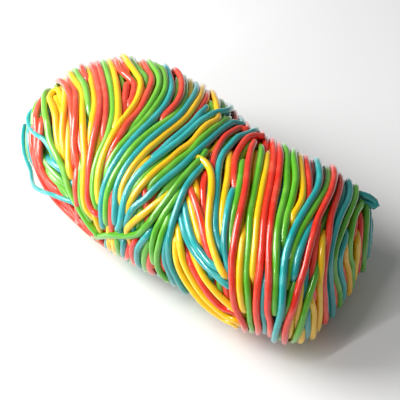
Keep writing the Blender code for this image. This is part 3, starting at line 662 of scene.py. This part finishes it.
def settle(points, rounds, pull):
    """The points after these rounds of pushing, each pulled back by this share of its way home."""
    free = hold < FIXED
    for k in range(rounds):
        if k % ROUNDS_BETWEEN_SEARCHES == 0:
            first, second = near_pairs(points, NEIGHBOUR_REACH)
        apart = points[second] - points[first]
        distance = np.maximum(np.linalg.norm(apart, axis=1), TINY)
        overlap = radius[first] + radius[second] - distance
        touching = overlap > 0
        a, b = first[touching], second[touching]
        push = apart[touching] * (0.5 * overlap[touching] / distance[touching])[:, None]
        contacts = np.bincount(a, minlength=len(points)) + np.bincount(b, minlength=len(points))
        step = np.zeros_like(points)
        for axis in range(3):
            step[:, axis] = np.bincount(b, push[:, axis], len(points))
            step[:, axis] -= np.bincount(a, push[:, axis], len(points))
        step /= np.maximum(contacts / 2, 1)[:, None]
        size = np.maximum(np.linalg.norm(step, axis=1), TINY * MM)
        points += step * np.minimum(1, MOST_STEP / size)[:, None]
        points += (home - points) * (pull * hold)[:, None]
        for _ in range(STIFFNESS_PASSES):
            shift = points - home
            points = home + shift + ((shift[before] + shift[after]) / 2 - shift) * STIFFNESS
        direction = outward(points)
        inside = np.clip(1 - level_at_depth(points, CORE_DEPTH) ** EVENER, 0, 1)
        points += direction * np.minimum(inside * FORM_PUSH, MOST_STEP)[:, None]
        outside = np.clip(level_at_depth(points, OUTER_DEPTH) ** EVENER - 1, 0, 1)
        points -= direction * np.minimum(outside * FORM_PUSH, MOST_STEP)[:, None]
        points[:, 2] = np.clip(points[:, 2], radius * TABLE_CLEARANCE, HIGHEST)
        points = np.where(free[:, None], points, home)
    mean = round(overlap[touching].mean() / MM, 2)
    deep, limit = (overlap > WORTH_COUNTING).sum(), round(WORTH_COUNTING / MM, 1)
    print("after", rounds, "rounds the mean overlap is", mean, "mm, with", deep, "over", limit, "mm")
    return points


settled = settle(home.copy(), ROUNDS, FIRST_PULL)
settled = settle(settled, ROUNDS // 4, LAST_PULL)
for line, first, last in zip(lines, starts, starts[1:]):
    line["points"] = settled[first:last]

# %% [markdown]
# ## Turning lines into laces
#
# A lace is a round string, so each line becomes a curve with a round bevel, which is how Blender
# makes any cord. All laces of one colour share one curve object, and each point has its own
# radius, because a pressed string is never quite even. The curve is then made a mesh, and each
# lace gets a number of its own for its material.

# %% Tubes
TUBE_SPACING = 1.9
FINER = 4
TUBE_BEVEL_RESOLUTION = 3
TUBE_SIDES = 2 * TUBE_BEVEL_RESOLUTION + 4
THINNEST_LACE, THICKEST_LACE = 1.02, 1.10
THICKNESS_WAVES, WAVE_HEIGHT = (2, 5, 11, 23), 0.011
WELD_DISTANCE = 1e-6


def thickness_along(count, closed):
    """How the thickness of one lace wanders along it, as a factor."""
    place = np.linspace(0, 2 * math.pi, count, endpoint=not closed)
    factor = np.full(count, random.uniform(THINNEST_LACE, THICKEST_LACE))
    for waves in THICKNESS_WAVES:
        factor += WAVE_HEIGHT * np.sin(waves * place + random.uniform(0, 2 * math.pi))
    return factor


def lace_curve(name):
    """An empty curve that gives each line in it a round section."""
    curve = bpy.data.curves.new(name, "CURVE")
    curve.dimensions = "3D"
    curve.bevel_depth = RADIUS * MM
    curve.bevel_resolution = TUBE_BEVEL_RESOLUTION
    curve.use_fill_caps = True
    return curve


def add_spline(curve, points, closed, thickness):
    """Adds one lace to the curve, and gives the number of vertices that its mesh will have."""
    spline = curve.splines.new("POLY")
    spline.points.add(len(points) - 1)
    spline.points.foreach_set("co", np.column_stack([points, np.ones(len(points))]).ravel())
    spline.points.foreach_set("radius", thickness)
    spline.use_cyclic_u = closed
    return len(points) * TUBE_SIDES + (0 if closed else 2 * TUBE_SIDES)


def link_new(name, data):
    """A new object with this data, linked to the scene."""
    made = bpy.data.objects.new(name, data)
    bpy.context.scene.collection.objects.link(made)
    return made


def curve_to_mesh(curve, name):
    """The bevelled curve as a mesh object. Its caps aren't joined to its sides yet."""
    guide = link_new(name + "_guide", curve)
    bpy.context.view_layer.update()
    mesh = bpy.data.meshes.new_from_object(guide.evaluated_get(bpy.context.evaluated_depsgraph_get()))
    bpy.data.objects.remove(guide)
    mesh.name = name
    return link_new(name, mesh)


def finer(points, closed):
    """A smooth line through the settled points, at the spacing that the mesh has."""
    if closed:
        padded = np.vstack([points[-1:], points, points[:2]])
    else:
        padded = np.vstack([2 * points[:1] - points[1:2], points, 2 * points[-1:] - points[-2:-1]])
    spans = len(padded) - 3
    line = catmull_rom(padded, np.linspace(0, spans, FINER * spans, endpoint=not closed))
    return evenly_spaced(line, closed, TUBE_SPACING)


# %% [markdown]
# The mesh of a bevelled curve keeps the order of its points, so each lace's tint can be written
# on its own vertices. After that the caps are joined to the sides.

# %% The pieces
def laces_of(colour):
    """Every lace of one colour as one mesh piece."""
    curve = lace_curve("laces_" + colour)
    counts = []
    for line in lines:
        if line["colour"] != colour:
            continue
        points = finer(line["points"], line["closed"]) + BUNDLE_SHIFT
        thickness = thickness_along(len(points), line["closed"]) * line["radius"] / RADIUS
        counts.append(add_spline(curve, points, line["closed"], thickness))
    piece = curve_to_mesh(curve, "laces_" + colour)
    tint = piece.data.attributes.new("lace_tint", "FLOAT", "POINT")
    values = np.repeat(random.uniform(0, 1, len(counts)), counts)
    if len(values) != len(piece.data.vertices):
        raise ValueError(f"{colour}: {len(values)} values for {len(piece.data.vertices)} vertices")
    tint.data.foreach_set("value", values)
    work = bmesh.new()
    work.from_mesh(piece.data)
    bmesh.ops.remove_doubles(work, verts=work.verts, dist=WELD_DISTANCE)
    work.to_mesh(piece.data)
    work.free()
    piece.data.shade_smooth()
    triangles = sum(len(face.vertices) - 2 for face in piece.data.polygons)
    print(piece.name, len(counts), "laces,", triangles, "triangles")
    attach(piece, "root")
    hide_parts("lace_bundle")
    return piece


pieces = {colour: laces_of(colour) for colour in colours}

# %% [markdown]
# ## The core
#
# Behind the last laces that can be seen there is only darkness, but a gap must never show
# straight through. So the inside is one closed body in the shape of the form, made smaller: a
# sphere whose points are sent out to the core's own skin.

# %% The packed core
PACKED_DEPTH = 7.0 * MM
CORE_SEGMENTS, CORE_RINGS = 48, 28


def make_core():
    work = bmesh.new()
    bmesh.ops.create_uvsphere(work, u_segments=CORE_SEGMENTS, v_segments=CORE_RINGS, radius=1)
    sphere = np.array([vertex.co for vertex in work.verts])
    # The sphere's poles go to the two ends of the bundle.
    direction = sphere[:, [2, 0, 1]] * (HALF_LENGTH, HALF_WIDTH, HALF_HEIGHT)
    direction /= np.linalg.norm(direction, axis=1)[:, None]
    middle = np.tile(HALF_HEIGHT * UP, (len(direction), 1))
    points = middle + direction * (reach_skin(middle, direction) - PACKED_DEPTH)[:, None]
    for vertex, point in zip(work.verts, points + BUNDLE_SHIFT):
        vertex.co = point
    mesh = bpy.data.meshes.new("packed_core")
    work.to_mesh(mesh)
    work.free()
    mesh.shade_smooth()
    core = link_new("packed_core", mesh)
    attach(core, "root")
    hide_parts("lace_bundle")
    return core


core = make_core()

# %% [markdown]
# ## What a fruit lace looks like
#
# It is a starch and sugar gel with colour in it, pressed through a die and polished with oil. So
# it is glossy, its colour goes deep, and light that enters comes out a little further on: that
# is subsurface scattering. Its surface is faintly wrinkled, with dull patches where the oil was
# rubbed off. The laces of the high left side get a painted sheen: their colour is made paler
# there, where the light falls on them.

# %% Colours and nodes
def linear(hex_colour):
    """An sRGB hex colour as the linear values that a shader takes."""
    values = [int(hex_colour[k : k + 2], 16) / 255 for k in (1, 3, 5)]
    return [v / 12.92 if v <= 0.04045 else ((v + 0.055) / 1.055) ** 2.4 for v in values] + [1]


def add_node(tree, kind, settings=None, **links):
    """A node with its settings; a link's name is the input, and its value another node's output.

    Inputs that share a name are told by their number: 6 in the settings, i6 as a link's name.
    """
    node = tree.nodes.new(kind)
    for key, value in (settings or {}).items():
        if isinstance(key, int) or key in node.inputs:
            node.inputs[key].default_value = value
        else:
            setattr(node, key, value)
    for key, output in links.items():
        name = key.replace("_", " ")
        socket = node.inputs[int(key[1:])] if key[0] == "i" and key[1:].isdigit() else node.inputs[name]
        tree.links.new(output, socket)
    return node


# %% The colours of the gel
# Plain colour, the colour of a darker batch, and a pale colour, used both for dull oil patches and for
# the painted sheen on the high left side.
GEL_COLOURS = {
    RED: ("#ee361c", "#dc2614", "#ff8468"),
    YELLOW: ("#f6ca00", "#eeb200", "#ffda44"),
    GREEN: ("#62b820", "#489e18", "#a0d868"),
    BLUE: ("#16a8a6", "#0a8c8c", "#68c8c8"),
}
GEL_IOR = 1.47
SCATTER_SHARE, SCATTER_DISTANCE = 0.35, 1.4 * MM
OIL_FILM, OIL_ROUGHNESS = 0.8, 0.06
# The last share is the most of the painted sheen, a paleness put on the high left side where the light
# falls.
HAZE_PATCH, MOST_HAZE, PAINTED_SHEEN = 9.0 * MM, 0.35, 0.35
WRINKLE_SIZE, WRINKLE_HEIGHT = 1.3 * MM, 0.25 * MM


# %% [markdown]
# Each lace has its own tint between two batches. Noise patches carry the haze, and two ramps by
# place add a painted sheen, paler towards the left and the top. The same patches make the gloss
# uneven, and finer noise wrinkles the skin.

# %% The gel
def fruit_gel(colour):
    plain, darker, haze_and_sheen = GEL_COLOURS[colour]
    material = bpy.data.materials.new("oiled_fruit_gel_" + colour)
    material.use_nodes = True
    tree = material.node_tree
    shader = tree.nodes["Principled BSDF"]
    place = add_node(tree, "ShaderNodeTexCoord")
    tint = add_node(tree, "ShaderNodeAttribute", {"attribute_name": "lace_tint"})
    batch = add_node(tree, "ShaderNodeMix", {"data_type": "RGBA", 6: linear(plain), 7: linear(darker)},
                     i0=tint.outputs["Fac"])
    patches = add_node(tree, "ShaderNodeTexNoise", {"Scale": 1 / HAZE_PATCH, "Detail": 3.0},
                       Vector=place.outputs["Object"])
    where = add_node(tree, "ShaderNodeMapRange",
                     {"From Min": 0.46, "From Max": 0.78, "To Max": MOST_HAZE},
                     Value=patches.outputs["Fac"])
    axes = add_node(tree, "ShaderNodeSeparateXYZ", Vector=place.outputs["Object"])
    # Painted sheen: the colour is made paler towards the left and towards the top of the bundle, where
    # the light falls.
    sheen_to_left = add_node(tree, "ShaderNodeMapRange",
                         {"From Min": 60 * MM, "From Max": -60 * MM, "To Max": PAINTED_SHEEN},
                         Value=axes.outputs["X"])
    sheen_to_top = add_node(tree, "ShaderNodeMapRange", {"From Min": 20 * MM, "From Max": 60 * MM},
                         Value=axes.outputs["Z"])
    # The share of the pale colour: the random haze patches plus the painted sheen.
    haze_and_painted_sheen = add_node(tree, "ShaderNodeMath", {"operation": "MULTIPLY_ADD"}, i0=sheen_to_left.outputs[0],
                    i1=sheen_to_top.outputs[0], i2=where.outputs[0])
    haze_and_sheen_mix = add_node(tree, "ShaderNodeMix", {"data_type": "RGBA", 7: linear(haze_and_sheen)},
                     i0=haze_and_painted_sheen.outputs[0], i6=batch.outputs[2])
    tree.links.new(haze_and_sheen_mix.outputs[2], shader.inputs["Base Color"])
    oil = add_node(tree, "ShaderNodeMapRange",
                   {"From Min": 0.35, "From Max": 0.7, "To Min": 0.10, "To Max": 0.22},
                   Value=patches.outputs["Fac"])
    tree.links.new(oil.outputs[0], shader.inputs["Roughness"])
    wrinkles = add_node(tree, "ShaderNodeTexNoise",
                        {"Scale": 1 / WRINKLE_SIZE, "Detail": 3.0, "Roughness": 0.55},
                        Vector=place.outputs["Object"])
    wrinkled = add_node(tree, "ShaderNodeBump", {"Strength": 0.05, "Distance": WRINKLE_HEIGHT},
                        Height=wrinkles.outputs["Fac"])
    tree.links.new(wrinkled.outputs["Normal"], shader.inputs["Normal"])
    shader.inputs["IOR"].default_value = GEL_IOR
    shader.inputs["Subsurface Weight"].default_value = SCATTER_SHARE
    shader.inputs["Subsurface Scale"].default_value = SCATTER_DISTANCE
    shader.inputs["Subsurface Radius"].default_value = linear(plain)[:3]
    shader.inputs["Coat Weight"].default_value = OIL_FILM
    shader.inputs["Coat Roughness"].default_value = OIL_ROUGHNESS
    return material


gels = {colour: fruit_gel(colour) for colour in colours}
for colour, piece in pieces.items():
    piece.data.materials.clear()
    piece.data.materials.append(gels[colour])
core.data.materials.append(gels[GREEN])

# %% [markdown]
# ## The table, the light and the camera
#
# One large soft lamp gives the laces their form, and a long narrow one draws thin highlights
# along them. An even white world fills the shadows, as pale studio walls do. The camera looks
# down at 44 degrees from the front right.

# %% The table
TABLE_HALF_SIZE = 3


def make_table():
    work = bmesh.new()
    bmesh.ops.create_grid(work, x_segments=1, y_segments=1, size=TABLE_HALF_SIZE)
    mesh = bpy.data.meshes.new("table")
    work.to_mesh(mesh)
    work.free()
    table = link_new("table", mesh)
    paper = bpy.data.materials.new("white_paper")
    paper.use_nodes = True
    shader = paper.node_tree.nodes["Principled BSDF"]
    shader.inputs["Base Color"].default_value = linear("#eaeaea")
    shader.inputs["Roughness"].default_value = 0.8
    mesh.materials.append(paper)


make_table()

# %% The camera
CAMERA_TARGET = np.array((5.6, 0, 27.5)) * MM + BUNDLE_SHIFT
CAMERA_DISTANCE = 614 * MM
CAMERA_ELEVATION = math.radians(44)
FIELD_OF_VIEW = math.radians(18)

camera_data = bpy.data.cameras.new("camera")
camera_data.angle = FIELD_OF_VIEW
camera = link_new("camera", camera_data)
back_off = -AWAY * math.cos(CAMERA_ELEVATION) + UP * math.sin(CAMERA_ELEVATION)
camera.location = CAMERA_TARGET + back_off * CAMERA_DISTANCE
camera.rotation_euler = Vector(-back_off).to_track_quat("-Z", "Y").to_euler()
bpy.context.scene.camera = camera


# %% The lamps
def lamp(name, right, away, up, wide, tall, watts):
    """A soft lamp, placed in metres as the camera sees the bundle, aimed below its middle."""
    data = bpy.data.lights.new(name, "AREA")
    data.shape = "RECTANGLE"
    data.size, data.size_y = wide, tall
    data.energy = watts
    light = link_new(name, data)
    place = Vector(ACROSS * right + AWAY * away + UP * up)
    light.location = place
    light.rotation_euler = (-place).to_track_quat("-Z", "Y").to_euler()


lamp("key", right=-0.60, away=0.10, up=0.48, wide=0.5, tall=0.5, watts=9.2)
lamp("strip", right=-0.48, away=-0.42, up=0.60, wide=0.03, tall=0.9, watts=3.9)
FILL_STRENGTH = 0.22
world = bpy.data.worlds.new("studio")
world.use_nodes = True
world.node_tree.nodes["Background"].inputs["Color"].default_value = (1, 1, 1, 1)
world.node_tree.nodes["Background"].inputs["Strength"].default_value = FILL_STRENGTH
bpy.context.scene.world = world
bpy.context.scene.view_settings.view_transform = "Standard"
